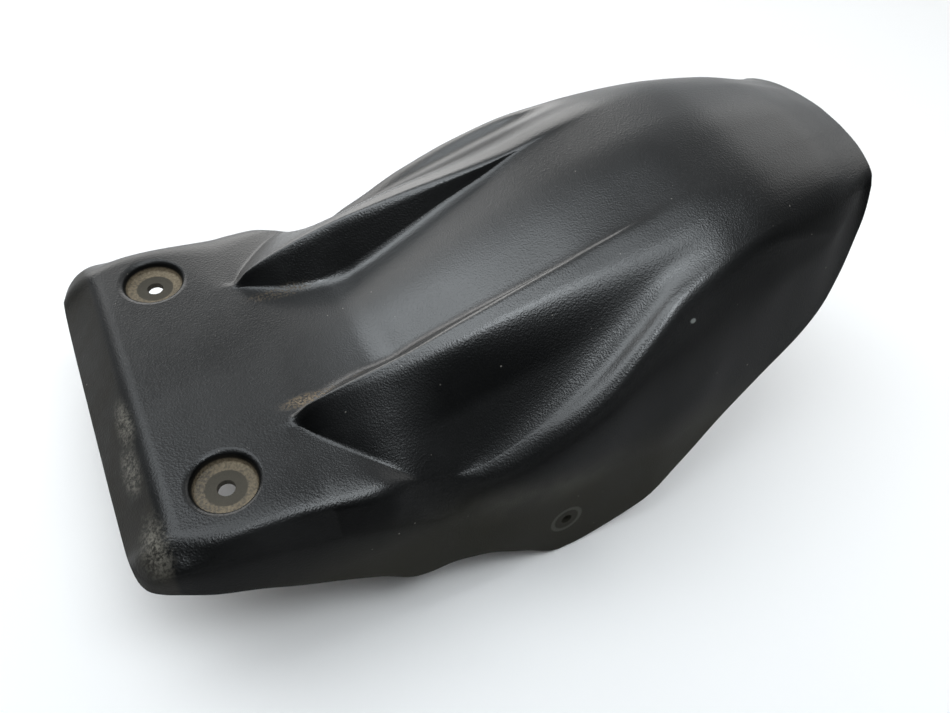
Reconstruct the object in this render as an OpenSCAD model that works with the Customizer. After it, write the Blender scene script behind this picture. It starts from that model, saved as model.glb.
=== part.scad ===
// Rear hugger mudguard, one moulding. X runs from the front lip to the tail,
// Y across, Z up. The origin is midway between the two plate bolts, half way through the wall
// that they clamp.

/* [Seat plate] */
// Spacing of the two bolts across the plate
bolt_spacing = 120; // [100:1:150]
// Clearance hole for an M6 bolt
bolt_hole_d = 7; // [5:0.1:9]
// Diameter of the sunk bolt seat at the plate
seat_rim_d = 26.4; // [20:0.1:30]
// Diameter of the sunk bolt seat at its floor
seat_floor_d = 23.6; // [16:0.1:26]
// Depth of the sunk bolt seat
seat_depth = 5.2; // [3:0.1:7]
// Width of the plate between its side folds
plate_w = 171; // [160:1:190]
// How far the front lip drops
lip_drop = 15; // [8:0.5:20]

/* [Shell] */
// Wall thickness of the moulding
wall = 2.8; // [2:0.1:3.5]
// Length from the bolts to the middle of the tail edge
tail_len = 343; // [300:1:380]
// Length from the bolts forward to the lip edge
nose_len = 42; // [36:0.5:50]
// Height of the arch over the plate
arch_h = 69; // [50:1:90]
// Width over the widest part of the skirts
skirt_w = 214; // [200:1:235]
// Depth of the skirts below the plate
skirt_drop = 93; // [70:1:110]
// Width of the tail edge between its corners
tail_w = 107; // [90:1:124]

/* [Flanks] */
// Distance between the two crests at their front tips
crest_gap = 84; // [76:1:92]
// Height of the crests where they fade out
crest_h = 42; // [34:0.5:48]
// Height of the outer shelf where it meets the arch
shelf_h = 40; // [30:0.5:46]

/* [Side bolt] */
// Clearance hole in each skirt
side_hole_d = 5.6; // [4:0.1:8]
// Distance of the skirt hole behind the plate bolts
side_hole_x = 144; // [130:1:155]
// Distance of the skirt hole below the top of the plate
side_hole_drop = 67; // [58:0.5:72]

/* [Hidden] */

lx = tail_len / 343;
nx = nose_len / 41;
py = plate_w / 171;
sy = skirt_w / 214;
ty = tail_w / 107;
gy = crest_gap / 84;
az = arch_h / 69;
kz = crest_h / 42;
hz = shelf_h / 40;
dz = skirt_drop / 93;
zl = lip_drop / 15;

// Heights of the centre line: plate, hollow behind it, then the arch over the tyre
mid_z = [[-41, 0], [60, 0], [73, 1], [92, 8], [115, 18], [138, 28], [160, 37.5], [176, 44.5],
    [200, 54.5], [233, 64.5], [266, 69], [300, 67.5], [325, 62.5], [343, 57.5]];
// Drop of the front lip along the centre line
lip_z = [[-41, -15.5], [-36, -10.8], [-31, -6.2], [-28, -3.6], [-26, -2.1], [-24, -1],
    [-22, -0.35], [-19.5, 0], [0, 0]];
// Foot of the steep inner wall of each flank
foot_y = [[-41, 24], [0, 30], [34, 40], [44, 37], [57, 32], [73, 29.5], [92, 29.5], [115, 31],
    [138, 33.3], [160, 35], [176, 36], [200, 34], [233, 30], [300, 24], [343, 15]];
foot_z = [[-41, 0], [34, 0], [44, -0.8], [57, -1.5], [73, -1.5], [82, 0], [92, 4.3], [115, 14.8],
    [138, 25.2], [160, 34.5], [176, 42], [200, 51], [233, 61], [266, 65.5], [300, 64.5],
    [325, 60.5], [343, 56.5]];
// Crest line of each flank
crest_y = [[-41, 32], [0, 38], [34, 42], [50, 42], [81, 43.4], [106, 42.1], [133, 40.3], [160, 38.5],
    [173, 38], [200, 40], [233, 41], [266, 39], [300, 34], [343, 23]];
crest_z = [[-41, 0], [32, 0], [34, 0.6], [40, 5.6], [50, 9.6], [66, 15], [81, 20], [106, 27.8],
    [123, 32], [146, 37.4], [173, 43.8], [200, 51.5], [233, 59.5], [266, 63], [300, 61.5],
    [325, 58.2], [343, 55.4]];
// Rounded shoulder just outside the crest
shoulder_y = [[-41, 37], [0, 42], [34, 43.5], [50, 47], [81, 51], [106, 52], [133, 52], [160, 52],
    [200, 52], [233, 50.5], [266, 48], [300, 43], [343, 30]];
shoulder_z = [[-41, 0], [32, 0], [34, 0.5], [40, 3.8], [50, 7.8], [66, 13], [81, 17.5], [106, 25],
    [123, 29], [146, 33.5], [173, 40], [200, 48], [233, 56], [266, 59.8], [300, 58.6], [325, 56],
    [343, 54.3]];
// Outer foot of the flank, then the inner side of the shelf
shelf_y = [[-41, 66], [10, 72], [20, 70], [33, 46], [40, 54], [51, 67], [62, 78], [72, 83.5],
    [80, 85], [90, 84.5], [100, 83.5], [120, 81.5], [140, 80], [160, 77], [180, 72], [200, 66],
    [233, 60.5], [266, 57], [300, 52], [343, 36]];
shelf_z = [[-41, 0], [56, 0], [64, -2], [72, -8], [80, -13.5], [90, -15], [100, -13], [120, -4.5],
    [140, 4], [160, 14], [180, 26.5], [200, 39], [233, 51], [266, 55], [300, 54], [325, 53],
    [343, 52.9]];
// Side fold of the plate, then the rounded outer edge of the shelf
fold_y = [[-41, 75], [-36, 80], [-30, 83], [-22, 85], [-10, 85.5], [20, 85], [32, 85.5],
    [42, 87.5], [55, 88.7], [63, 88], [77, 86.3], [87, 87.5], [98, 91.5], [107, 93.5],
    [116, 94.3], [135, 94.5], [154, 92], [176, 85.5], [200, 77.5], [233, 73.5], [266, 67],
    [300, 60.5], [325, 52], [343, 42]];
fold_z = [[-41, 0], [14, 0], [27, -0.6], [42, -1.2], [55, -2], [63, -5], [77, -14], [87, -17],
    [98, -12.5], [107, -9.3], [116, -6], [135, 2.8], [154, 13], [176, 26.8], [200, 39.5],
    [233, 44.5], [266, 47.5], [300, 47], [325, 48.2], [343, 51]];
// Steep face under the shelf and the fold
cheek_y = [[-41, 76], [-36, 81.5], [-30, 86], [-22, 87.5], [-14, 88.3], [0, 88.8], [31, 89.4],
    [55, 93], [63, 93.2], [77, 92.3], [87, 93.5], [98, 96.3], [107, 98.3], [116, 99.8],
    [135, 101.3], [154, 100.3], [176, 95.8], [200, 90.5], [233, 83.5], [266, 76], [300, 67.5],
    [325, 56], [343, 45.3]];
cheek_z = [[-41, -0.5], [-30, -3], [-14, -6], [0, -7], [31, -11], [55, -13.5], [63, -16.5],
    [77, -24], [87, -26.5], [98, -23], [116, -17.5], [135, -9], [154, 0], [176, 10], [200, 18.5],
    [233, 22], [266, 32], [300, 36.5], [325, 43.5], [343, 49.7]];
// Soft ridge half way down the skirt
ridge_y = [[-41, 77], [-36, 83], [-30, 87.5], [-14, 90.3], [0, 91], [31, 93], [55, 97], [66, 97],
    [87, 97], [118, 101], [143, 102.5], [190, 101], [212, 96.5], [236, 88.5], [264, 81],
    [290, 74.5], [317, 63], [330, 56], [343, 48.5]];
ridge_z = [[-41, -1], [-30, -6], [-14, -12], [0, -14], [31, -20], [55, -24], [66, -28], [87, -34],
    [118, -46], [143, -54], [167, -44], [190, -30], [212, -14], [236, 0], [264, 12], [290, 22],
    [317, 34], [330, 41], [343, 48]];
// Free bottom edge of the skirt
edge_x = [[-41, -39], [-36, -36], [-28, -28], [309, 309], [328, 327], [343, 336]];
edge_y = [[-41, 79], [-36, 84.5], [-28, 89], [-14, 92.5], [0, 94], [15, 95.5], [31, 97], [49, 99],
    [66, 102], [81, 102.3], [96, 104], [118, 106], [143, 107], [190, 107], [212, 103], [236, 97],
    [264, 90], [290, 84], [306, 78.5], [317, 72], [325, 66], [334, 59.5], [343, 51.3]];
edge_z = [[-41, -16.5], [-36, -16.8], [-28, -18.3], [-14, -24.3], [0, -30.3], [15, -38.5],
    [31, -46], [49, -55], [64, -63], [74, -64.5], [81, -64], [96, -65.5], [118, -77], [143, -93],
    [150, -93], [167, -89], [190, -79], [212, -61.5], [236, -43.5], [264, -30], [290, -16],
    [306, -5], [317, 9], [325, 21], [334, 34.5], [343, 45.2]];
// How soft the corner is at each line, from nearly sharp to fully blended
foot_s = [[-41, 0.5], [34, 0.3], [150, 0.3], [200, 0.85], [343, 0.85]];
crest_s = [[-41, 0.5], [34, 0.5], [130, 0.5], [200, 0.85], [343, 0.85]];
shoulder_s = [[-41, 0.5], [34, 0.6], [343, 0.85]];
shelf_s = [[-41, 0.5], [34, 0.2], [66, 0.2], [80, 0.4], [110, 0.8], [150, 0.95], [343, 0.95]];
fold_s = [[-41, 0.8], [60, 0.8], [90, 0.6], [116, 0.55], [176, 0.6], [200, 0.7], [233, 0.95],
    [343, 0.95]];
cheek_s = [[-41, 0.8], [60, 0.8], [116, 0.9], [343, 0.95]];
ridge_s = [[-41, 0.8], [110, 0.8], [143, 0.6], [343, 0.8]];

// Stations along the part: close together round the lip, the flank tips and the tail
stations = [-41, -37, -32, -28, -25, -22, -19, 0, 22, 31, 34, 37, 41, 46, 52, 58, 64, 70, 76, 82, 88, 94,
    101, 109, 118, 128, 138, 148, 159, 171, 183, 195, 208, 221, 234, 247, 260, 274, 288, 301, 312, 321,
    329, 335, 339, 343];

function knot_slope(k, i) =
    let (n = len(k) - 1)
    i <= 0 ? (k[1][1] - k[0][1]) / (k[1][0] - k[0][0]) :
    i >= n ? (k[n][1] - k[n - 1][1]) / (k[n][0] - k[n - 1][0]) :
    let (
        ha = k[i][0] - k[i - 1][0],
        hb = k[i + 1][0] - k[i][0],
        da = (k[i][1] - k[i - 1][1]) / ha,
        db = (k[i + 1][1] - k[i][1]) / hb
    )
    da * db <= 0 ? 0 : 3 * (ha + hb) / ((2 * hb + ha) / da + (hb + 2 * ha) / db);

// Smooth line through the knots that never overshoots them
function at(k, x, i = 0) =
    i < len(k) - 2 && x > k[i + 1][0] ? at(k, x, i + 1) :
    let (
        h = k[i + 1][0] - k[i][0],
        t = min(max((x - k[i][0]) / h, 0), 1),
        a = knot_slope(k, i),
        b = knot_slope(k, i + 1)
    )
    (2 * pow(t, 3) - 3 * t * t + 1) * k[i][1] + (pow(t, 3) - 2 * t * t + t) * h * a
        + (3 * t * t - 2 * pow(t, 3)) * k[i + 1][1] + (pow(t, 3) - t * t) * h * b;

// The widths widen with the plate at the front, the skirts in the middle, the tail at the end
function wide(x) =
    let (a = min(max((x - 20) / 80, 0), 1), b = min(max((x - 220) / 123, 0), 1))
    (1 - a) * py + a * (1 - b) * sy + a * b * ty;
function narrow(x) =
    let (a = min(max((x - 34) / 266, 0), 1))
    (1 - a) * gy + a * ty;
function tall(x) = x < 60 ? 1 : az;
function fade(x) = min(max((x - 150) / 90, 0), 1);
function flank(x) = (1 - fade(x)) * kz + fade(x) * az;
function shelf(x) = (1 - fade(x)) * hz + fade(x) * az;
function deep(z) = z < 0 ? z * dz : z * az;

lift = seat_depth + wall / 2;

function along(x) = x < 0 ? x * nx : x * lx;

// Nine control points of one half section
function section_net(x) =
    let (
        drop = x < 0 ? at(lip_z, x) * zl : 0,
        ex = at(edge_x, x),
        ey = at(edge_y, x) * wide(x),
        bend = pow(max((x - 295) / 48, 0), 1.5) * 5.5
    )
    [
        for (r = [
            [0, at(mid_z, x) * tall(x) + drop],
            [at(foot_y, x) * narrow(x), at(foot_z, x) * tall(x) + drop],
            [at(crest_y, x) * narrow(x), at(crest_z, x) * flank(x) + drop],
            [at(shoulder_y, x) * narrow(x), at(shoulder_z, x) * flank(x) + drop],
            [at(shelf_y, x) * wide(x), at(shelf_z, x) * shelf(x) + drop],
            [at(fold_y, x) * wide(x), at(fold_z, x) * shelf(x) + 0.55 * drop],
            [at(cheek_y, x) * wide(x), deep(at(cheek_z, x)) + 0.65 * drop],
            [at(ridge_y, x) * wide(x), deep(at(ridge_z, x)) + 0.8 * drop]
        ])
        [
            along(x > 0 ? x - bend * pow(r[0] / (tail_w / 2), 3)
                : x + (ex - x) * pow(max(0, (r[0] - 60) / (ey - 60)), 2)),
            r[0], r[1]
        ],
        [along(ex), ey, x < -28 ? at(edge_z, x) * zl : deep(at(edge_z, x))]
    ];

function bend_pt(a, b, c, t) = pow(1 - t, 2) * a + 2 * t * (1 - t) * b + t * t * c;

// One half section: a rounded corner at every control point, straight in between
function half_section(x) =
    let (
        q = section_net(x),
        s = [0.8, at(foot_s, x), at(crest_s, x), at(shoulder_s, x), at(shelf_s, x), at(fold_s, x),
            at(cheek_s, x), at(ridge_s, x)],
        steps = [2, 2, 3, 2, 2, 3, 2, 2],
        out = [for (j = [0:7]) q[j] + s[j] * (q[j + 1] - q[j]) / 2],
        back = [for (j = [0:7]) j == 0 ? [out[0][0], -out[0][1], out[0][2]]
            : q[j] + s[j] * (q[j - 1] - q[j]) / 2]
    )
    [
        for (t = [0.5, 0.75, 1]) bend_pt(back[0], q[0], out[0], t),
        for (j = [1:7]) for (t = [0:steps[j]]) bend_pt(back[j], q[j], out[j], t / steps[j]),
        (out[7] + q[8]) / 2,
        q[8]
    ];

function mirror_y(p) = [p[0], -p[1], p[2]];

top = [
    for (x = stations)
        let (h = half_section(x), n = len(h) - 1)
        [for (j = [0:n - 1]) mirror_y(h[n - j]), each h]
];
rows = len(top);
cols = len(top[0]);

function unit(v) = v / norm(v);
function skin_normal(i, j) =
    let (
        a = top[min(i + 1, rows - 1)][j] - top[max(i - 1, 0)][j],
        b = top[i][min(j + 1, cols - 1)] - top[i][max(j - 1, 0)]
    )
    unit(cross(a, b));

under = [for (i = [0:rows - 1]) [for (j = [0:cols - 1]) top[i][j] - wall * skin_normal(i, j)]];

module skin() {
    pts = [for (r = top) each r, for (r = under) each r];
    m = rows * cols;
    polyhedron(points = pts, faces = [
        for (i = [0:rows - 2]) for (j = [0:cols - 2])
            let (a = i * cols + j, b = a + 1, c = a + cols + 1, d = a + cols)
            each [[a, b, c], [a, c, d], [m + a, m + c, m + b], [m + a, m + d, m + c]],
        for (j = [0:cols - 2])
            let (a = j, c = (rows - 1) * cols + j)
            each [[a, m + a, m + a + 1], [a, m + a + 1, a + 1],
                [c, c + 1, m + c + 1], [c, m + c + 1, m + c]],
        for (i = [0:rows - 2])
            let (a = i * cols, d = a + cols, b = a + cols - 1, e = b + cols)
            each [[a, d, m + d], [a, m + d, m + a], [b, m + b, m + e], [b, m + e, e]]
    ], convexity = 8);
}

// Sunk seats for the two plate bolts, with the wall carried round them
module seat_bosses() {
    for (s = [-1, 1])
        translate([0, s * bolt_spacing / 2, -seat_depth - wall])
            cylinder(d = seat_rim_d + 2 * wall, h = seat_depth + wall / 2, $fn = 48);
}

module seat_cuts() {
    for (s = [-1, 1])
        translate([0, s * bolt_spacing / 2, 0]) {
            translate([0, 0, -seat_depth])
                cylinder(d1 = seat_floor_d, d2 = seat_rim_d + 0.4, h = seat_depth + 0.75, $fn = 48);
            translate([0, 0, -seat_depth - 2 * wall])
                cylinder(d = bolt_hole_d, h = seat_depth + 2 * wall, $fn = 36);
        }
}

module side_cuts() {
    for (s = [-1, 1])
        translate([side_hole_x, s * (skirt_w / 2 - 6), -side_hole_drop])
            rotate([90, 0, 0])
                cylinder(d = side_hole_d, h = 30, center = true, $fn = 36);
}

module hugger() {
    color("#232427")
        translate([0, 0, lift])
            difference() {
                union() {
                    skin();
                    seat_bosses();
                }
                seat_cuts();
                side_cuts();
            }
}

hugger();
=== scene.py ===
# %% [markdown]
# A rear hugger is the small mudguard that rides on a motorcycle's swingarm, close over the
# back tyre. This one is a single moulding in black plastic, held by two bolts in its front
# plate and one in each side skirt. It could be modelled at any size and scaled afterwards, but
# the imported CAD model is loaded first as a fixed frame, so that every millimetre below is
# already in the same place as the real bolt holes.

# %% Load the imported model
import math

import bmesh
import bpy
from mathutils import Matrix, Vector


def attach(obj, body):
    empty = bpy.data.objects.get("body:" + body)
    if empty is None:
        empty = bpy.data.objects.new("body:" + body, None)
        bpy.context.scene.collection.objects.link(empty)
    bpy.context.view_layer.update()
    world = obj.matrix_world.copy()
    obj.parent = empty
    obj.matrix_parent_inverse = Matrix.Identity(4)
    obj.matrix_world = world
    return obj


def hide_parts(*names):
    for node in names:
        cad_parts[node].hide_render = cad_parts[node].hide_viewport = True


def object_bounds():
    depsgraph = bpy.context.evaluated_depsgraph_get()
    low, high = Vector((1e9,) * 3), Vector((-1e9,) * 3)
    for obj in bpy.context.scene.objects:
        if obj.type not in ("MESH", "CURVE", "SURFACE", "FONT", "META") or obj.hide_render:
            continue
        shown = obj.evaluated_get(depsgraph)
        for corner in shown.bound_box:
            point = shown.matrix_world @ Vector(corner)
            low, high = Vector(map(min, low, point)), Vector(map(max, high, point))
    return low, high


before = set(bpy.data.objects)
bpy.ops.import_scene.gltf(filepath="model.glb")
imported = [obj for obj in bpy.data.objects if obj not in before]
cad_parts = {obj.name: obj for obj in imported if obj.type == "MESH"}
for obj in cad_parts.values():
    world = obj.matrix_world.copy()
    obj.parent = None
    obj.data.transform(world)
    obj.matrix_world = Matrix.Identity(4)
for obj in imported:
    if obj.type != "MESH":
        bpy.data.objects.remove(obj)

cad_low, cad_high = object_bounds()
print("CAD box", [round(v, 4) for v in cad_low], [round(v, 4) for v in cad_high])

# %% [markdown]
# The photo was taken from above the near front corner with a short phone lens. A camera has a
# place, a direction and a focal length. They could be nudged by eye, but the two bolt seats are
# circles of one size on one flat plate, which is enough to work the camera out. The numbers
# below are that camera, given by its own right, down and forward directions. Heights in this
# script start at the plate's top face, and LIFT carries them to the frame's origin, which lies
# in the middle of the wall under the sunk seats.

# %% Camera
MM = 0.001
WALL = 2.8
SEAT_DEPTH = 5.2
LIFT = SEAT_DEPTH + WALL / 2
PHOTO_WIDTH = 950
FOCAL = 770

camera_data = bpy.data.cameras.new("photo_camera")
camera = bpy.data.objects.new("photo_camera", camera_data)
bpy.context.scene.collection.objects.link(camera)
right = Vector((0.8836, -0.4598, 0.0886))
down = Vector((-0.2988, -0.6993, -0.6494))
ahead = Vector((0.3605, 0.5473, -0.7553))
place = Vector((-7.3, -233.8, 264.6 + LIFT)) * MM
turn = Matrix((right, -down, -ahead)).transposed().to_4x4()
camera.matrix_world = Matrix.Translation(place) @ turn
camera_data.sensor_width = 36.0
camera_data.lens = FOCAL / PHOTO_WIDTH * camera_data.sensor_width
camera_data.clip_start = 0.01
bpy.context.scene.camera = camera
print("camera lens", round(camera_data.lens, 2), "mm")

# %% [markdown]
# The moulding's skin is drawn the way its maker would draw it: a few long lines run from the
# front lip to the tail, and a cross-section with softened corners is strung across them at
# every station. Pushing points about by hand would lose the sharp crest, so the lines are kept
# and simply sampled closely. The CAD solid is strung the same way on nearly the same lines.
# Each pair is a distance behind the bolts and a width or a height there, in millimetres.
# First come the middle, with the lip's roll in front of the flat plate, and the foot of the
# flanks, where the channel between them climbs into the arch.

# %% Middle line and foot of the flanks
MID_Z = [(-41, 0), (60, 0), (73, 1), (92, 8), (115, 18), (138, 28), (160, 37.5), (176, 44.5),
         (200, 54.5), (233, 64.5), (266, 68.8), (300, 67.4), (325, 62.5), (343, 57.5)]
LIP_Z = [(-41, -15.5), (-36, -10.8), (-31, -6.2), (-28, -3.6), (-26, -2.1), (-24, -1),
         (-22, -0.35), (-19.5, 0), (0, 0)]
FOOT_Y = [(-41, 24), (0, 30), (34, 40), (44, 37), (57, 32), (73, 29.5), (92, 29.5), (115, 31),
          (138, 33.3), (160, 35), (176, 36), (200, 34), (233, 30), (300, 24), (343, 15)]
FOOT_Z = [(-41, 0), (34, 0), (44, -0.8), (57, -1.5), (73, -1.5), (82, 0), (92, 4.3), (115, 14.8),
          (138, 25.2), (160, 34.5), (176, 42), (200, 51), (233, 61), (266, 65.5), (300, 64.5),
          (325, 60.5), (343, 56.5)]
print("middle line from", MID_Z[0][0], "to", MID_Z[-1][0], "mm, arch", max(z for x, z in MID_Z), "high")

# %% [markdown]
# Each flank starts from nothing on the plate and carries a sharp crest with a shoulder just
# outside it. It could be a separate wedge that a boolean joins to the plate, but its far end
# would then need blending into the arch by hand. As two more lines, it grows out of the plate
# at a point and melts into the arch by itself.

# %% Crest and shoulder
CREST_Y = [(-41, 32), (0, 38), (34, 42), (50, 43), (66, 43.6), (81, 43.9), (106, 42.1),
           (133, 40.3), (160, 38.5), (173, 38), (200, 40), (233, 41), (266, 39), (300, 34),
           (343, 23)]
CREST_Z = [(-41, 0), (32, 0), (34, 0.8), (40, 6.6), (50, 11.2), (66, 16.6), (81, 21), (106, 27.8),
           (123, 32), (146, 37.4), (173, 43.8), (200, 51.5), (233, 59.5), (266, 63), (300, 61.5),
           (325, 58.2), (343, 55.4)]
SHOULDER_Y = [(-41, 37), (0, 42), (34, 43.5), (50, 47), (81, 51), (106, 52), (133, 52),
              (160, 52), (200, 52), (233, 50.5), (266, 48), (300, 43), (343, 30)]
SHOULDER_Z = [(-41, 0), (32, 0), (34, 0.6), (40, 4.8), (50, 9.0), (66, 14.2), (81, 18.2),
              (106, 25), (123, 29), (146, 33.5), (173, 40), (200, 48), (233, 56), (266, 59.8),
              (300, 58.6), (325, 56), (343, 54.3)]
print("crest", max(z for x, z in CREST_Z), "mm high, shoulder", max(z for x, z in SHOULDER_Z))

# %% [markdown]
# Outside the shoulder the face is dished down to a shelf, and the shelf turns over at a fold
# into the side of the part. On the plate the shelf line lies flat and the fold is simply the
# plate's rounded side. Creases marked on a finished mesh could show the same edges, but lines
# also set how wide the dish is at every place.

# %% Shelf and fold
SHELF_Y = [(-41, 66), (0, 68), (10, 63), (20, 55), (28, 49), (33, 46), (40, 53.6), (51, 65.4),
           (62, 76), (72, 82.6), (80, 85), (90, 84.5), (100, 83.5), (120, 81.5), (140, 80),
           (160, 77), (180, 72), (200, 66), (233, 60.5), (266, 57), (300, 52), (343, 36)]
SHELF_Z = [(-41, 0), (10, 0), (20, -0.15), (28, -0.5), (33, -0.8), (40, -1.5), (50, -2.8),
           (57, -4.4), (65, -7.2), (72, -10.6), (80, -14), (90, -15), (100, -13), (120, -4.5),
           (140, 4), (160, 14), (180, 26.5), (200, 39), (233, 51), (266, 55), (300, 54),
           (325, 53), (343, 52.9)]
FOLD_Y = [(-41, 73.5), (-36, 75), (-30, 75.5), (-22, 77), (-16, 79.8), (-8, 82), (4, 82.8),
          (20, 82.8), (32, 83.2), (42, 84.8), (55, 85.6), (63, 85.6), (77, 85.6), (87, 87.5),
          (98, 91.5), (107, 93.5), (116, 94.3), (135, 94.5), (154, 92), (176, 85.5), (200, 77.5),
          (233, 73.5), (266, 67), (300, 60.5), (325, 52), (343, 42)]
FOLD_Z = [(-41, -4), (-36, -1.8), (-31, -0.5), (-26, 0), (-8, 0), (6, -0.3), (18, -1),
          (30, -2.2), (42, -3.6), (55, -5), (63, -7.8), (77, -15), (87, -18),
          (98, -16), (107, -12.4), (116, -8.6), (135, 1.6), (154, 12.6), (176, 26.8), (200, 39.5),
          (233, 44.5), (266, 47.5), (300, 47), (325, 48.2), (343, 51)]
print("shelf dips to", min(z for x, z in SHELF_Z), "mm, fold to", min(z for x, z in FOLD_Z))

# %% [markdown]
# Under the fold the side slopes out over a cheek and a ridge and then drops to the free edge,
# which is deepest at the foot that carries the side bolt. The skirts could be two more pieces,
# but the real part is one moulding, so they are the outer lines of the same cross-section. The
# edge has an X line of its own, which rounds the corners of lip and tail seen from above.

# %% Cheek, ridge and free edge
CHEEK_Y = [(-41, 76), (-36, 81.5), (-30, 86), (-22, 87.5), (-14, 88.3), (0, 88.8), (31, 89.4),
           (55, 93), (63, 93.2), (77, 92.3), (87, 93.5), (98, 96.3), (107, 98.3), (116, 99.8),
           (135, 101.3), (154, 100.3), (176, 95.8), (200, 90.5), (233, 83.5), (266, 76),
           (300, 67.5), (325, 56), (343, 45.3)]
CHEEK_Z = [(-41, -4), (-36, -3.6), (-30, -3.8), (-14, -7), (0, -8.5), (31, -13), (55, -16),
           (63, -18.5), (77, -25), (87, -26.5), (98, -23), (116, -17.5), (135, -9), (154, 0),
           (176, 10), (200, 18.5), (233, 22), (266, 32), (300, 36.5), (325, 43.5), (343, 49.7)]
RIDGE_Y = [(-41, 77), (-36, 83), (-30, 87.5), (-14, 90.3), (0, 91), (31, 93), (55, 97), (66, 97),
           (87, 97), (118, 101), (143, 102.5), (190, 101), (212, 96.5), (236, 88.5), (264, 81),
           (290, 74.5), (317, 63), (330, 56), (343, 48.5)]
RIDGE_Z = [(-41, -3), (-36, -4.4), (-30, -6.4), (-14, -12), (0, -14), (31, -20), (55, -24),
           (66, -28), (87, -34), (118, -46), (143, -54), (167, -44), (190, -30), (212, -14),
           (236, 0), (264, 12), (290, 22), (317, 34), (330, 41), (343, 48)]
EDGE_X = [(-41, -39), (-36, -36), (-28, -28), (309, 309), (328, 327), (343, 337.4)]
EDGE_Y = [(-41, 79), (-36, 84.5), (-28, 89), (-14, 92.5), (0, 94), (15, 95.5), (31, 97), (49, 99),
          (66, 102), (81, 102.3), (96, 104), (118, 106), (143, 107), (190, 107), (212, 103),
          (236, 97), (264, 90), (290, 84), (306, 78.5), (317, 72), (325, 66), (334, 59.5),
          (343, 51.3)]
EDGE_Z = [(-41, -16.5), (-36, -16.8), (-28, -18.3), (-14, -24.3), (0, -30.3), (15, -38.5),
          (31, -46), (49, -55), (64, -63), (74, -64.5), (81, -64), (96, -65.5), (118, -77),
          (143, -93), (150, -93), (167, -89), (190, -79), (212, -61.5), (236, -43.5), (264, -30),
          (290, -16), (306, -5), (317, 9), (325, 21), (334, 34.5), (343, 45.2)]
print("free edge", 2 * max(y for x, y in EDGE_Y), "mm across, foot at", min(z for x, z in EDGE_Z))

# %% [markdown]
# The corners of the cross-section are sharp in places and melt away in others. One Bevel
# modifier would round them all alike, so each line gets a list of its own: 0 leaves the corner
# sharp, and at 1 its curve reaches half way to both neighbours.

# %% Softness of the corners
MIDDLE_S = 0.8
FOOT_S = [(-41, 0.5), (34, 0.3), (150, 0.3), (200, 0.85), (343, 0.85)]
CREST_S = [(-41, 0.5), (34, 0.5), (130, 0.5), (200, 0.85), (343, 0.85)]
SHOULDER_S = [(-41, 0.5), (34, 0.6), (343, 0.85)]
SHELF_S = [(-41, 0.9), (26, 0.9), (34, 0.2), (66, 0.2), (80, 0.6), (110, 0.9), (150, 0.8),
           (343, 0.95)]
FOLD_S = [(-41, 0.8), (60, 0.8), (90, 0.9), (116, 0.95), (135, 0.85), (176, 0.8), (200, 0.9),
          (233, 0.95), (343, 0.95)]
CHEEK_S = [(-41, 0.8), (60, 0.8), (116, 0.9), (343, 0.95)]
RIDGE_S = [(-41, 0.8), (110, 0.8), (143, 0.6), (343, 0.8)]
SOFTNESS = (FOOT_S, CREST_S, SHOULDER_S, SHELF_S, FOLD_S, CHEEK_S, RIDGE_S)
print(len(SOFTNESS), "softened corners on each side")

# %% [markdown]
# A list of pairs still needs a smooth curve through it. One of Blender's own curves could do
# that, but it may swing past its points and put a dent in the flat plate. This one keeps every
# stretch between the heights of its two ends: its slope at a pair is zero wherever the list
# turns round.


# %% A smooth line through its pairs
def slope(k, i):
    if i <= 0:
        return (k[1][1] - k[0][1]) / (k[1][0] - k[0][0])
    if i >= len(k) - 1:
        return (k[-1][1] - k[-2][1]) / (k[-1][0] - k[-2][0])
    ha = k[i][0] - k[i - 1][0]
    hb = k[i + 1][0] - k[i][0]
    da = (k[i][1] - k[i - 1][1]) / ha
    db = (k[i + 1][1] - k[i][1]) / hb
    if da * db <= 0:
        return 0.0
    return 3 * (ha + hb) / ((2 * hb + ha) / da + (hb + 2 * ha) / db)


def along_line(k, x):
    i = 0
    while i < len(k) - 2 and x > k[i + 1][0]:
        i += 1
    h = k[i + 1][0] - k[i][0]
    t = min(max((x - k[i][0]) / h, 0), 1)
    return (
        (2 * t**3 - 3 * t * t + 1) * k[i][1]
        + (t**3 - 2 * t * t + t) * h * slope(k, i)
        + (3 * t * t - 2 * t**3) * k[i + 1][1]
        + (t**3 - t * t) * h * slope(k, i + 1)
    )


print("crest at 90 mm:", round(along_line(CREST_Z, 90), 2), "mm high")

# %% [markdown]
# At a station, one corner is read from each long line. The lip's roll is added in front of the
# bolts, with less of it towards the sides, because the real lip rolls over between two rounded
# corners. At the tail the section is swept forward at its sides. A flat end plane could be cut
# instead, but the real tail edge is curved seen from above.

# %% Corners of one cross-section
LINES = [
    (FOOT_Y, FOOT_Z, 1),
    (CREST_Y, CREST_Z, 1),
    (SHOULDER_Y, SHOULDER_Z, 1),
    (SHELF_Y, SHELF_Z, 1),
    (FOLD_Y, FOLD_Z, 0.55),
    (CHEEK_Y, CHEEK_Z, 0.65),
    (RIDGE_Y, RIDGE_Z, 0.8),
]
NOSE = 42 / 41
LIP_CORNER_Y = 60
TAIL_START = 295
TAIL_LONG = 48
TAIL_HALF = 53.5
TAIL_SWEEP = 5.5


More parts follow.
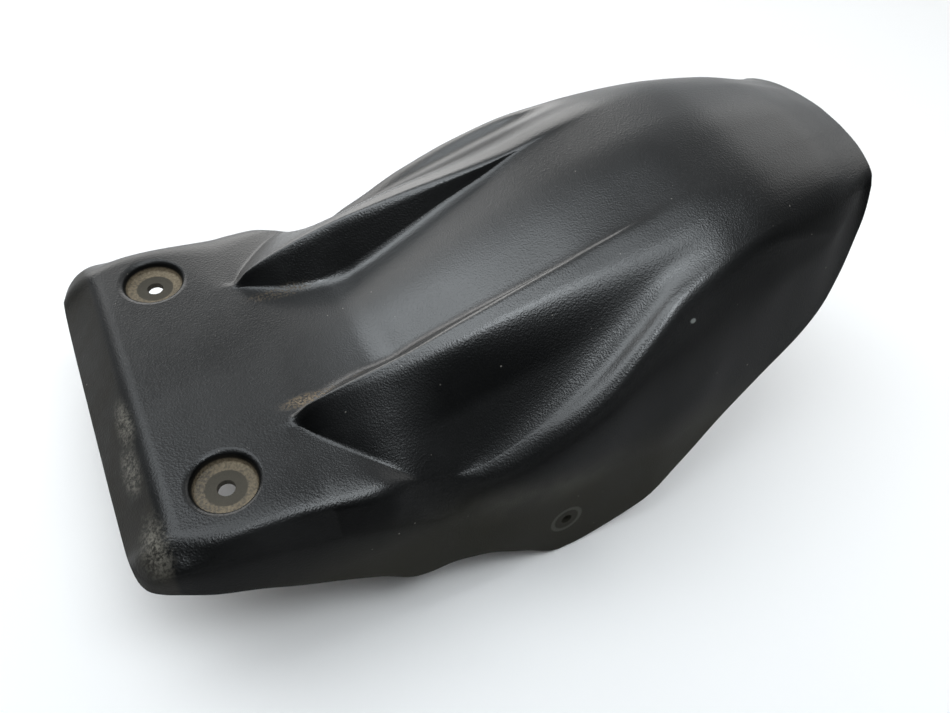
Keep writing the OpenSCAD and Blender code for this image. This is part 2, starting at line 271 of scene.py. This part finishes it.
def section_corners(x):
    roll = along_line(LIP_Z, x) if x < 0 else 0
    ex = along_line(EDGE_X, x)
    ey = along_line(EDGE_Y, x)
    sweep = max((x - TAIL_START) / TAIL_LONG, 0) ** 1.5 * TAIL_SWEEP
    pairs = [(0, along_line(MID_Z, x) + roll)]
    for wide_line, high_line, share in LINES:
        pairs.append((along_line(wide_line, x), along_line(high_line, x) + share * roll))
    points = []
    for y, z in pairs:
        if x > 0:
            px = x - sweep * (y / TAIL_HALF) ** 3
        else:
            px = x + (ex - x) * max(0, (y - LIP_CORNER_Y) / (ey - LIP_CORNER_Y)) ** 2
        points.append(Vector((px, y, z)))
    points.append(Vector((ex, ey, along_line(EDGE_Z, x))))
    for p in points:
        p.x *= NOSE if p.x < 0 else 1
    return points


print("corners at the bolts", [(round(p.y), round(p.z, 1)) for p in section_corners(0)])

# %% [markdown]
# The corners are joined by straight runs and rounded by short curves that leave and enter each
# corner at its softness. A subdivision surface could round them too, but it would pull the
# whole section inwards and away from the CAD solid.

# %% One rounded half section
CORNER_STEPS = 7
MIDDLE_STEPS = 6
RUN_STEPS = 3
EDGE_STEPS = 5


def corner(a, b, c, t):
    return (1 - t) ** 2 * a + 2 * t * (1 - t) * b + t * t * c


def half_section(x):
    q = section_corners(x)
    last = len(SOFTNESS)
    s = [MIDDLE_S] + [along_line(k, x) for k in SOFTNESS]
    leave = [q[j] + (q[j + 1] - q[j]) * s[j] / 2 for j in range(last + 1)]
    enter = [Vector((leave[0].x, -leave[0].y, leave[0].z))]
    enter += [q[j] + (q[j - 1] - q[j]) * s[j] / 2 for j in range(1, last + 1)]
    line = [corner(enter[0], q[0], leave[0], 0.5 + t / (2 * MIDDLE_STEPS)) for t in range(MIDDLE_STEPS + 1)]
    for j in range(1, last + 1):
        for t in range(1, RUN_STEPS):
            line.append(line[-1].lerp(enter[j], 1 / (RUN_STEPS + 1 - t)))
        line += [corner(enter[j], q[j], leave[j], t / CORNER_STEPS) for t in range(CORNER_STEPS + 1)]
    for t in range(1, EDGE_STEPS + 1):
        line.append(leave[last].lerp(q[last + 1], t / EDGE_STEPS))
    return line


print("points in half a section", len(half_section(0)))

# %% [markdown]
# The outer skin is one grid: a half section and its mirror image at every station. The stations
# lie closest where the form changes fastest, at the lip and at the tips of the flanks. An even
# spacing would be simpler, but it would waste points on the long plain arch.

# %% Outer skin
STATIONS = [-41, -37, -32, -28, -25, -22, -19, -8, 4, 14, 22, 28, 31, 34, 37, 41, 46, 52, 58,
            64, 70, 76, 82, 88, 94, 101, 109, 118, 128, 138, 148, 159, 171, 183, 195, 208, 221,
            234, 247, 260, 274, 288, 301, 312, 321, 329, 335, 339, 343]
SPLITS = 3


def outer_grid():
    xs = []
    for a, b in zip(STATIONS[:-1], STATIONS[1:]):
        xs += [a + (b - a) * t / SPLITS for t in range(SPLITS)]
    xs.append(STATIONS[-1])
    rows = []
    for x in xs:
        half = half_section(x)
        rows.append([Vector((p.x, -p.y, p.z)) for p in half[:0:-1]] + half)
    return rows


outer = outer_grid()
print("outer grid", len(outer), "by", len(outer[0]), "points")

# %% [markdown]
# The real wall is about 2.8 mm thick. A Solidify modifier could thicken the sheet, but it
# pinches at the sharp crest. So the inner skin is laid down point by point, straight under the
# outer one, along the average direction of the faces around each point.


# %% Inner skin
def inner_grid(rows):
    m, n = len(rows) - 1, len(rows[0]) - 1
    tilt = [
        [(rows[i + 1][j + 1] - rows[i][j]).cross(rows[i][j + 1] - rows[i + 1][j]) for j in range(n)]
        for i in range(m)
    ]
    grid = []
    for i, row in enumerate(rows):
        across = range(min(max(i - 1, 0), m - 2), min(max(i, 1), m - 1) + 1)
        line = []
        for j, p in enumerate(row):
            beside = range(min(max(j - 1, 0), n - 2), min(max(j, 1), n - 1) + 1)
            up = sum((tilt[k][q] for k in across for q in beside), Vector())
            line.append(p - WALL * up.normalized())
        grid.append(line)
    return grid


inner = inner_grid(outer)
print("wall at the middle", round((outer[0][0] - inner[0][0]).length, 2), "mm")

# %% [markdown]
# The free edge of a moulding isn't knife sharp, and on black plastic its thin bright line is
# what the eye follows. A Bevel modifier could round it, but it leaves notches where the corner
# of the lip turns. So the edge is rounded in the grid, by a row of rings from the outer to the
# inner skin.

# %% Rounded free edge
RIM_R = 0.9
RIM_STEPS = 4


def rim_loop(m, n):
    loop = [(0, j) for j in range(n - 1)]
    loop += [(i, n - 1) for i in range(m - 1)]
    loop += [(m - 1, j) for j in range(n - 1, 0, -1)]
    loop += [(i, 0) for i in range(m - 1, 0, -1)]
    return loop


def rim_profile():
    turns = [math.radians(90 * k / RIM_STEPS) for k in range(RIM_STEPS + 1)]
    upper = [(RIM_R * (math.sin(a) - 1), RIM_R * (1 - math.cos(a))) for a in turns]
    return upper + [(out, WALL - depth) for out, depth in reversed(upper)]


def rim_rings(loop):
    m, n = len(outer), len(outer[0])
    edge = [outer[i][j] for i, j in loop]
    into = [(outer[i][j] - inner[i][j]) / WALL for i, j in loop]
    rings = [[] for _ in rim_profile()]
    for k, (i, j) in enumerate(loop):
        inside = outer[min(max(i, 1), m - 2)][min(max(j, 1), n - 2)]
        away = (edge[(k + 1) % len(loop)] - edge[k - 1]).cross(into[k]).normalized()
        if away.dot(edge[k] - inside) < 0:
            away = -away
        for ring, (out, depth) in zip(rings, rim_profile()):
            ring.append(edge[k] + away * out - into[k] * depth)
    return rings


edge_loop = rim_loop(len(outer), len(outer[0]))
edge_rings = rim_rings(edge_loop)
for (i, j), top, bottom in zip(edge_loop, edge_rings[0], edge_rings[-1]):
    outer[i][j] = top
    inner[i][j] = bottom
print("free edge", len(edge_rings), "rings of", len(edge_loop), "points")

# %% [markdown]
# Both skins and the edge's rings now become one closed mesh. They could be three objects joined
# and merged by distance, but numbering the shared points once keeps the wall closed for certain.


# %% Join the skins
def skin_faces(m, n, numbers):
    faces = []
    for i in range(m - 1):
        for j in range(n - 1):
            a, b, c, d = i * n + j, i * n + j + 1, (i + 1) * n + j + 1, (i + 1) * n + j
            faces.append((a, d, c, b))
            faces.append((m * n + a, m * n + b, m * n + c, m * n + d))
    for near, far in zip(numbers[:-1], numbers[1:]):
        for k in range(len(near)):
            k2 = (k + 1) % len(near)
            faces.append((near[k], near[k2], far[k2], far[k]))
    return faces


def skin_mesh(name):
    m, n = len(outer), len(outer[0])
    points = [p for row in outer for p in row] + [p for row in inner for p in row]
    numbers = [[i * n + j for i, j in edge_loop]]
    for ring in edge_rings[1:-1]:
        numbers.append(list(range(len(points), len(points) + len(ring))))
        points += ring
    numbers.append([m * n + i * n + j for i, j in edge_loop])
    mesh = bpy.data.meshes.new(name)
    placed = [(Vector((p.x, p.y, p.z + LIFT)) * MM)[:] for p in points]
    mesh.from_pydata(placed, [], skin_faces(m, n, numbers))
    shell = bmesh.new()
    shell.from_mesh(mesh)
    bmesh.ops.recalc_face_normals(shell, faces=shell.faces)
    shell.to_mesh(mesh)
    shell.free()
    return mesh


guard = bpy.data.objects.new("hugger_skin", skin_mesh("hugger_skin"))
bpy.context.scene.collection.objects.link(guard)
print("skin", len(guard.data.vertices), "points,", len(guard.data.polygons), "faces")

# %% [markdown]
# The bolt seats and holes are perfectly round on the real part. They could be pressed into the
# grid, but its points would never lie on a true circle. So an outline is spun round the bolt's
# axis, as on a lathe, and the turned tool is then added to the skin or taken out of it.


# %% A turned tool
def turned(name, outline, at, axis="Z", steps=96):
    bm = bmesh.new()
    rings = []
    for r, z in outline:
        if r == 0:
            rings.append([bm.verts.new((0, 0, z * MM))])
        else:
            rings.append([
                bm.verts.new((r * MM * math.cos(a), r * MM * math.sin(a), z * MM))
                for a in (2 * math.pi * k / steps for k in range(steps))
            ])
    for lower, upper in zip(rings[:-1], rings[1:]):
        for k in range(steps):
            k2 = (k + 1) % steps
            if len(lower) == 1:
                bm.faces.new((lower[0], upper[k2], upper[k]))
            elif len(upper) == 1:
                bm.faces.new((lower[k], lower[k2], upper[0]))
            else:
                bm.faces.new((lower[k], lower[k2], upper[k2], upper[k]))
    bmesh.ops.recalc_face_normals(bm, faces=bm.faces)
    mesh = bpy.data.meshes.new(name)
    bm.to_mesh(mesh)
    bm.free()
    tool = bpy.data.objects.new(name, mesh)
    bpy.context.scene.collection.objects.link(tool)
    tool.location = at
    if axis == "Y":
        tool.rotation_euler = (math.pi / 2, 0, 0)
    return tool


def combine(part, tool, how):
    step = part.modifiers.new(tool.name, "BOOLEAN")
    step.operation = how
    step.solver = "EXACT"
    step.use_hole_tolerant = True
    step.object = tool
    bpy.context.view_layer.update()
    view = bpy.context.evaluated_depsgraph_get()
    part.data = bpy.data.meshes.new_from_object(part.evaluated_get(view))
    part.modifiers.clear()
    bpy.data.objects.remove(tool)
    print(how.lower(), len(part.data.polygons), "faces")


# %% [markdown]
# Each plate bolt sits in a round pocket so that its head stays below the plate. Seen from the
# side, the tool that cuts it has the bolt hole with a small break at its mouth, a flat floor, a
# rounded inner corner and a rim that rolls softly out onto the plate. Under the plate the wall
# has to carry on round the pocket, so a boss of the same wall is added before the cut.

# %% Outlines of a bolt seat
SEAT_R = 13.0
FLOOR_R = 12.3
BOLT_R = 3.5
RIM_WIDE = 3.0
RIM_DEEP = 2.2
RIM_ARC = 86
RIM_CUTS = 8
FLOOR_CORNER = 0.8
MOUTH = 0.3
BOSS_TOP = -1.1
BOSS_CHAMFER = 1
OVER = 1.0

below = -SEAT_DEPTH - WALL
boss_outline = [
    (0, below),
    (SEAT_R + WALL - BOSS_CHAMFER, below),
    (SEAT_R + WALL, below + BOSS_CHAMFER),
    (SEAT_R + WALL, BOSS_TOP),
    (0, BOSS_TOP),
]
seat_outline = [
    (0, below - OVER),
    (BOLT_R, below - OVER),
    (BOLT_R, -SEAT_DEPTH - MOUTH),
    (BOLT_R + MOUTH, -SEAT_DEPTH),
    (FLOOR_R - FLOOR_CORNER, -SEAT_DEPTH),
]
for turn_to in (-75, -60, -45, -30, -15):
    a = math.radians(turn_to)
    seat_outline.append((
        FLOOR_R - FLOOR_CORNER + FLOOR_CORNER * math.cos(a),
        -SEAT_DEPTH + FLOOR_CORNER + FLOOR_CORNER * math.sin(a),
    ))
for k in range(RIM_CUTS + 1):
    a = math.radians(RIM_ARC * k / RIM_CUTS)
    seat_outline.append((SEAT_R + RIM_WIDE * (1 - math.cos(a)), RIM_DEEP * (math.sin(a) - 1)))
seat_outline += [(SEAT_R + RIM_WIDE + 0.1, OVER), (0, OVER)]
print("seat outline", len(seat_outline), "points, boss", 2 * (SEAT_R + WALL), "mm across")

# %% [markdown]
# The two seats lie 120 mm apart, which is the fixed size that the rest of the part was scaled
# from. Each skirt has one plain hole for a small side bolt. A hole could be shown by a dark
# patch of colour, but a real opening lets light through and shows the wall's thickness.

# %% Cut the seats and the side holes
BOLT_Y = 60
SIDE_HOLE_R = 2.8
SIDE_HOLE_X = 144
SIDE_HOLE_Z = -67
SKIRT_Y = 100
SIDE_TOOL = 12

for side in (-1, 1):
    spot = Vector((0, side * BOLT_Y, LIFT)) * MM
    combine(guard, turned("boss", boss_outline, spot), "UNION")
    combine(guard, turned("seat", seat_outline, spot), "DIFFERENCE")
side_outline = [(0, -SIDE_TOOL), (SIDE_HOLE_R, -SIDE_TOOL), (SIDE_HOLE_R, SIDE_TOOL), (0, SIDE_TOOL)]
for side in (-1, 1):
    spot = Vector((SIDE_HOLE_X, side * SKIRT_Y, LIFT + SIDE_HOLE_Z)) * MM
    combine(guard, turned("side_hole", side_outline, spot, "Y", 48), "DIFFERENCE")
print("with seats", len(guard.data.vertices), "points,", len(guard.data.polygons), "faces")

# %% [markdown]
# Moulded plastic has no hard corners except where a tool cut it. Flat shading would show every
# face of the grid, so the skin is shaded smooth, edges over 48 degrees stay crisp, and Weighted
# Normal keeps the light even over the long faces that the cutters left behind. The skin then
# stands for the CAD piece, which is hidden, and hangs from the root body.

# %% Even light on the skin
SHARP = math.radians(48)
for poly in guard.data.polygons:
    poly.use_smooth = True
guard.data.set_sharp_from_angle(angle=SHARP)
even = guard.modifiers.new("even_light", "WEIGHTED_NORMAL")
even.keep_sharp = True
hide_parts("hugger")
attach(guard, "root")
print("smooth faces", len(guard.data.polygons))

# %% [markdown]
# The floor is a plain pale sheet, just under the lowest point of the skirts. It could curve up
# into a backdrop, but the camera looks down, so a flat sheet already fills the view. Its white
# comes from its own colour, and no lamp is raised for it.

# %% Floor
FLOOR_REACH = 3.0
FLOOR_GAP = 0.0005
floor_z = cad_low[2] - FLOOR_GAP
floor_mesh = bpy.data.meshes.new("floor")
floor_corners = [
    (x * FLOOR_REACH, y * FLOOR_REACH, floor_z) for x, y in ((-1, -1), (1, -1), (1, 1), (-1, 1))
]
floor_mesh.from_pydata(floor_corners, [], [(0, 1, 2, 3)])
floor = bpy.data.objects.new("floor", floor_mesh)
bpy.context.scene.collection.objects.link(floor)
paper = bpy.data.materials.new("pale_floor")
paper.use_nodes = True
paper_shader = paper.node_tree.nodes["Principled BSDF"]
paper_shader.inputs["Base Color"].default_value = (1.0, 0.985, 0.975, 1)
paper_shader.inputs["Roughness"].default_value = 0.9
paper_shader.inputs["Specular IOR Level"].default_value = 0.0
floor.data.materials.append(paper)
print("floor at", round(floor_z, 4), "m")

# %% [markdown]
# Black plastic shows its shape almost only by what it mirrors. One lamp over the camera would
# leave it flat grey. Here a tall soft window stands beyond the far side and lights the plate,
# the channel and the crests, a small skylight over the near side draws the bright stripe down
# the dished flank, and two large dim walls give the arch and the far flank their sheen.


# %% Lamps
def soft_lamp(name, at, target, width, height, watts, colour):
    data = bpy.data.lights.new(name, "AREA")
    data.shape = "RECTANGLE"
    data.size = width
    data.size_y = height
    data.energy = watts
    data.color = colour
    lamp = bpy.data.objects.new(name, data)
    bpy.context.scene.collection.objects.link(lamp)
    lamp.location = at
    lamp.rotation_euler = (Vector(target) - Vector(at)).to_track_quat("-Z", "Y").to_euler()
    print(name, watts, "W")


DAYLIGHT = (0.90, 0.96, 1.0)
soft_lamp("window", (-0.24, 0.38, 1.51), (0.12, 0, 0), 0.85, 1.8, 17, DAYLIGHT)
soft_lamp("skylight", (0.31, -0.52, 1.26), (0.16, -0.06, 0), 0.66, 0.42, 7.5, DAYLIGHT)
soft_lamp("end_wall", (2.10, 0.68, 1.20), (0.27, -0.02, 0.05), 1.9, 1.15, 8, (1.0, 0.99, 0.97))
soft_lamp("far_wall", (0.15, 2.50, 0.86), (0.12, 0, 0), 2.6, 1.4, 30, (1.0, 0.98, 0.95))

# %% [markdown]
# The rest of the room is brighter beyond the far side than behind the camera, which is why the
# faces that lean to the viewer are nearly black. An even grey world would fill them in. So the
# world's strength falls off smoothly with the angle from one level direction.

# %% World
BRIGHT_SIDE = (0.342, 0.940, 0.0)
WORLD_POWER = 2.2
WORLD_BRIGHT = 0.95
WORLD_DIM = 0.04

world = bpy.data.worlds.new("room")
world.use_nodes = True
nodes = world.node_tree.nodes
links = world.node_tree.links
toward = nodes.new("ShaderNodeTexCoord")
facing = nodes.new("ShaderNodeVectorMath")
facing.operation = "DOT_PRODUCT"
facing.inputs[1].default_value = BRIGHT_SIDE
spread = nodes.new("ShaderNodeMapRange")
spread.inputs["From Min"].default_value = -0.5
spread.inputs["From Max"].default_value = 1.0
falloff = nodes.new("ShaderNodeMath")
falloff.operation = "POWER"
falloff.inputs[1].default_value = WORLD_POWER
level = nodes.new("ShaderNodeMath")
level.operation = "MULTIPLY_ADD"
level.inputs[1].default_value = WORLD_BRIGHT
level.inputs[2].default_value = WORLD_DIM
links.new(toward.outputs["Generated"], facing.inputs[0])
links.new(facing.outputs["Value"], spread.inputs["Value"])
links.new(spread.outputs["Result"], falloff.inputs[0])
links.new(falloff.outputs["Value"], level.inputs[0])
links.new(level.outputs["Value"], nodes["Background"].inputs["Strength"])
nodes["Background"].inputs["Color"].default_value = (0.93, 0.97, 1.0, 1)
bpy.context.scene.world = world
bpy.context.scene.view_settings.view_transform = "Standard"
print("world from", WORLD_DIM, "to", round(WORLD_DIM + WORLD_BRIGHT, 2))

# %% [markdown]
# The moulding is satin black plastic with a fine leather grain from the mould. It could be one
# flat black, but years on the road have left dust, film and rubbed places on it, and the pale
# colour of the rubbed places is partly a painted sheen. Each of these is a soft mask by place on
# the part, broken up by noise, and the masks are built from a few small node helpers. An image
# texture could hold them too, but it would need unwrapping, and nodes stay sharp at any distance.

# %% Node helpers
plastic = bpy.data.materials.new("black_plastic")
plastic.use_nodes = True
tree = plastic.node_tree
shader = tree.nodes["Principled BSDF"]


def plug(made, socket, value):
    if isinstance(value, bpy.types.NodeSocket):
        tree.links.new(value, made.inputs[socket])
    else:
        made.inputs[socket].default_value = value


def number(how, a, b=0.0, c=0.0):
    made = tree.nodes.new("ShaderNodeMath")
    made.operation = how
    for socket, value in enumerate((a, b, c)):
        plug(made, socket, value)
    return made.outputs[0]


def vector(how, a, b=(0, 0, 0)):
    made = tree.nodes.new("ShaderNodeVectorMath")
    made.operation = how
    plug(made, 0, a)
    plug(made, 1, b)
    return made.outputs["Value" if how in ("LENGTH", "DOT_PRODUCT") else "Vector"]


def times(*values):
    total = values[0]
    for value in values[1:]:
        total = number("MULTIPLY", total, value)
    return total


def either(*values):
    total = values[0]
    for value in values[1:]:
        total = number("MAXIMUM", total, value)
    return total


def blend(under, over, share):
    return number("MULTIPLY_ADD", number("SUBTRACT", over, under), share, under)


print("plastic starts with", len(tree.nodes), "nodes")

# %% [markdown]
# A mask is a number from 0 to 1 at every place on the part. It could be painted by hand, but a
# painted mask shifts when the shape is changed. Here it fades in or out between two distances,
# lies inside a soft egg-shaped patch, or comes from noise.


# %% Mask helpers
def ramp(value, start, end):
    made = tree.nodes.new("ShaderNodeMapRange")
    made.interpolation_type = "SMOOTHSTEP"
    plug(made, "Value", value)
    low_end, high_end, flip = (start, end, False) if start < end else (end, start, True)
    made.inputs["From Min"].default_value = low_end
    made.inputs["From Max"].default_value = high_end
    made.inputs["To Min"].default_value = 1.0 if flip else 0.0
    made.inputs["To Max"].default_value = 0.0 if flip else 1.0
    return made.outputs["Result"]


def fade(distance, start_mm, end_mm):
    return ramp(distance, start_mm * MM, end_mm * MM)


def patch(where, centre, size, inner_share=0.35, outer_share=1.0):
    middle = vector("SUBTRACT", where, tuple(v * MM for v in centre))
    apart = vector("LENGTH", vector("DIVIDE", middle, tuple(v * MM for v in size)))
    return ramp(apart, outer_share, inner_share)


def noise(where, scale, detail=3.0, rough=0.55):
    made = tree.nodes.new("ShaderNodeTexNoise")
    plug(made, "Vector", where)
    made.inputs["Scale"].default_value = scale
    made.inputs["Detail"].default_value = detail
    made.inputs["Roughness"].default_value = rough
    return made.outputs["Fac"]


# %% [markdown]
# Everything is placed in the part's own coordinates, so the wear stays put when the part is
# moved. Dust gathers alike on both sides, and for that the width is folded over at the middle.
# Four noises of different grain, from drifting clouds to fine grit, break the masks up. One
# noise for all would make every mark end at the same places.

# %% Places and noises
spot_on = tree.nodes.new("ShaderNodeTexCoord").outputs["Object"]
axes = tree.nodes.new("ShaderNodeSeparateXYZ")
plug(axes, 0, spot_on)
back, height = axes.outputs["X"], axes.outputs["Z"]
wide = number("ABSOLUTE", axes.outputs["Y"])
halves = tree.nodes.new("ShaderNodeCombineXYZ")
plug(halves, "X", back)
plug(halves, "Y", wide)
plug(halves, "Z", height)
folded = halves.outputs[0]
cloud = noise(spot_on, 22.0, 4.0, 0.6)
streak = noise(vector("MULTIPLY", spot_on, (0.35, 1.0, 1.6)), 60.0, 3.0, 0.6)
grit = noise(spot_on, 900.0, 2.0, 0.7)
fleck = noise(spot_on, 380.0, 2.0, 0.6)
print("places and noises:", len(tree.nodes), "nodes")

# %% [markdown]
# Road spray has dried to an olive film low on the skirts, thicker in a band above the side
# bolt, and the bolt's washer left a pale ring. A single tint over the whole side would look
# like paint, so the film fades with height and towards the tail and follows the clouds.

# %% Film and washer ring on the sides
low_side = times(fade(wide, 86, 98), fade(height, -4, -40), fade(back, 330, 230))
side_film = times(low_side, number("MULTIPLY_ADD", cloud, 0.7, 0.45))
side_band = times(patch(folded, (128, 100, -28), (62, 14, 17), 0.2, 1.0), ramp(cloud, 0.30, 0.62))
from_side = vector("SUBTRACT", folded, (SIDE_HOLE_X * MM, 0, (SIDE_HOLE_Z + LIFT) * MM))
washer_ring = vector("LENGTH", vector("MULTIPLY", from_side, (1, 0, 1)))
washer = times(fade(washer_ring, 6.0, 7.2), fade(washer_ring, 9.4, 8.2), fade(wide, 90, 95))
print("side masks:", len(tree.nodes), "nodes")

# %% [markdown]
# Tan dust has settled in the bolt seats all round a darker disc, where the flange of the bolt
# kept the plastic clean. It could be a second thin mesh of dust, but the layer has no height
# that would show, so colour and roughness are enough.

# %% Dust in the bolt seats
from_bolt = vector("SUBTRACT", folded, (0, BOLT_Y * MM, 0))
bolt_ring = vector("LENGTH", vector("MULTIPLY", from_bolt, (1, 1, 0)))
in_seat = times(fade(bolt_ring, 13.6, 12.6), fade(height, 4.0, 2.4))
under_flange = fade(bolt_ring, 8.6, 7.8)
gritty = number("MULTIPLY_ADD", ramp(grit, 0.30, 0.66), 0.40, ramp(cloud, 0.20, 0.95))
seat_dust = times(in_seat, gritty, blend(0.9, 0.06, under_flange))
seat_film = times(in_seat, under_flange)
print("seat masks:", len(tree.nodes), "nodes")

# %% [markdown]
# A little of the same dust lies along the foot of each crest, more at the near one. The front
# lip is dusty all along and has been rubbed in three places, where it knocked against something.
# The rubbed places are painted pale, partly as worn plastic and partly as a painted sheen that
# stands in for the whitish reflection on them. The patches are different in size and don't
# mirror, because wear isn't tidy.

# %% Crest foot, rubbed lip and its painted sheen
crest_foot = either(
    times(patch(spot_on, (44, -35, 6), (17, 4.5, 6)), ramp(grit, 0.40, 0.62)),
    times(patch(spot_on, (52, 31, 5), (22, 4.5, 6)), ramp(grit, 0.46, 0.68), 0.6),
    times(patch(spot_on, (60, -34, 7), (34, 6, 8)), ramp(fleck, 0.5, 0.7), 0.35),
)
lip_dust = times(fade(back, -25.5, -28.5), number("MULTIPLY_ADD", streak, 0.9, 0.05))
# Rubbed patches: worn plastic whose pale colour is also a painted sheen, standing in for a whitish
# reflection.
rubbed_and_sheen = either(
    patch(spot_on, (-29.5, -15, 4), (6, 17, 7)),
    patch(spot_on, (-31.5, -37, 1), (6, 15, 8)),
    patch(spot_on, (-30, -74, 2), (9, 19, 10), 0.1, 1.0),
)
rub_and_sheen_break = number("ADD", number("MULTIPLY", fleck, 0.45), number("MULTIPLY", grit, 0.65))
rub_marks_and_sheen = times(rubbed_and_sheen, ramp(rub_and_sheen_break, 0.42, 0.72))
print("lip masks:", len(tree.nodes), "nodes")

# %% [markdown]
# Small things keep a large dark surface from looking drawn: a few pale specks, one chip on the
# near side of the arch, and a faint smudging of the plate. The specks come from the cells of a
# Voronoi texture, each a dot at its cell's middle, which spreads them without any repeat.

# %% Specks, chip and smudges
speck_cells = tree.nodes.new("ShaderNodeTexVoronoi")
plug(speck_cells, "Vector", spot_on)
speck_cells.inputs["Scale"].default_value = 115.0
specks = times(ramp(speck_cells.outputs["Distance"], 0.050, 0.028), ramp(cloud, 0.44, 0.58))
chip = patch(spot_on, (202, -83, 36.5), (2.2, 1.7, 1.5), 0.5, 0.9)
smudge = times(ramp(cloud, 0.40, 0.66), fade(back, 130, 50))
print("small marks:", len(tree.nodes), "nodes")

# %% [markdown]
# The colours are laid over each other like thin coats, from the clean black up to the chip.
# Each coat has its own colour and the mask that says where it lies and how much of it. Mixing
# whole shaders would do as well, but coats of colour bake cleanly into the exported model.

# %% Colour coats
CLEAN_BLACK = (0.0016, 0.0018, 0.0019, 1)
coats = [
    ((0.0090, 0.0093, 0.0094, 1), times(smudge, 0.5)),
    ((0.026, 0.0245, 0.0175, 1), side_film),
    ((0.050, 0.048, 0.038, 1), times(side_band, 0.6)),
    ((0.040, 0.036, 0.028, 1), times(lip_dust, 0.75)),
    ((0.060, 0.055, 0.045, 1), seat_film),
    ((0.30, 0.245, 0.17, 1), seat_dust),
    ((0.24, 0.19, 0.135, 1), times(crest_foot, 0.8)),
    # rubbed wear, its pale colour partly a painted sheen
    ((0.24, 0.225, 0.19, 1), times(rub_marks_and_sheen, 0.6)),
    ((0.09, 0.088, 0.078, 1), times(washer, 0.5)),
    ((0.30, 0.28, 0.25, 1), times(specks, 0.6)),
    ((0.18, 0.19, 0.18, 1), chip),
]


def coat(under, over, share):
    made = tree.nodes.new("ShaderNodeMix")
    made.data_type = "RGBA"
    plug(made, 0, share)
    plug(made, 6, under)
    plug(made, 7, over)
    return made.outputs[2]


colour = CLEAN_BLACK
for over, share in coats:
    colour = coat(colour, over, share)
plug(shader, "Base Color", colour)
print(len(coats), "coats over the clean black")

# %% [markdown]
# The channel and the crests have been wiped to a polish, the plate is duller, dust is quite
# matt, and the steep faces under the crests and the fold, which the photo shows nearly black,
# mirror little of the room. They could be separate materials, but their edges would show. So
# the direction that the surface faces says where they are, wherever the camera stands.

# %% Polished and dull faces
slope_up = tree.nodes.new("ShaderNodeSeparateXYZ")
plug(slope_up, 0, tree.nodes.new("ShaderNodeNewGeometry").outputs["Normal"])
steep = times(ramp(slope_up.outputs["Z"], 0.92, 0.35), fade(wide, 48, 64))
leaning = ramp(slope_up.outputs["Z"], 0.93, 0.60)
inner_face = times(leaning, fade(wide, 46.5, 52), fade(wide, 75, 66))
tip_face = times(leaning, fade(wide, 43, 46), fade(back, 31, 36), fade(back, 75, 55))
dark_face = either(inner_face, tip_face)
polish = times(fade(back, 35, 80), fade(back, 200, 120), fade(wide, 66, 56))
outer_polish = times(fade(back, 130, 170), fade(back, 235, 205), fade(wide, 58, 66))
print("face masks:", len(tree.nodes), "nodes")

# %% [markdown]
# Gloss has two parts. The specular level says how strongly the plastic mirrors, and the
# roughness how blurred the mirror is. Both follow the same masks as the dust, so a dusty place
# is pale, dull and blurred at once, as it is on the real part.

# %% Gloss
PLATE_SHINE = 0.42
PLAIN_SHINE = 0.55
POLISHED = 0.92
DULL_SHINE = 0.12
DUST_ROUGH = 0.80

dusty = either(side_film, seat_dust, seat_film, times(lip_dust, 0.6), crest_foot)
shine = blend(PLAIN_SHINE, PLATE_SHINE, fade(back, 50, 10))
shine = blend(shine, POLISHED, either(polish, outer_polish))
shine = blend(shine, DULL_SHINE, either(ramp(dusty, 0.0, 0.6), steep, dark_face))
plug(shader, "Specular IOR Level", shine)
satin = blend(number("MULTIPLY_ADD", cloud, 0.10, 0.27), 0.36, smudge)
plug(shader, "Roughness", blend(satin, DUST_ROUGH, either(dusty, times(steep, 0.6))))
print("gloss:", len(tree.nodes), "nodes")

# %% [markdown]
# The mould's leather grain is too fine for geometry, at about 0.7 mm from pit to pit. Smooth
# Voronoi cells give its rounded pebbles, a little grit makes them uneven, and a Bump node
# turns both into relief of a tenth of a millimetre.

# %% Leather grain
GRAIN_SCALE = 1350.0
GRAIN_DEPTH = 0.12

grain = tree.nodes.new("ShaderNodeTexVoronoi")
grain.feature = "SMOOTH_F1"
plug(grain, "Vector", spot_on)
grain.inputs["Scale"].default_value = GRAIN_SCALE
relief = tree.nodes.new("ShaderNodeBump")
relief.inputs["Strength"].default_value = 0.75
relief.inputs["Distance"].default_value = GRAIN_DEPTH * MM
plug(relief, "Height", number("MULTIPLY_ADD", grit, 0.6, grain.outputs["Distance"]))
plug(shader, "Normal", relief.outputs[0])
guard.data.materials.clear()
guard.data.materials.append(plastic)
print("plastic has", len(tree.nodes), "nodes")
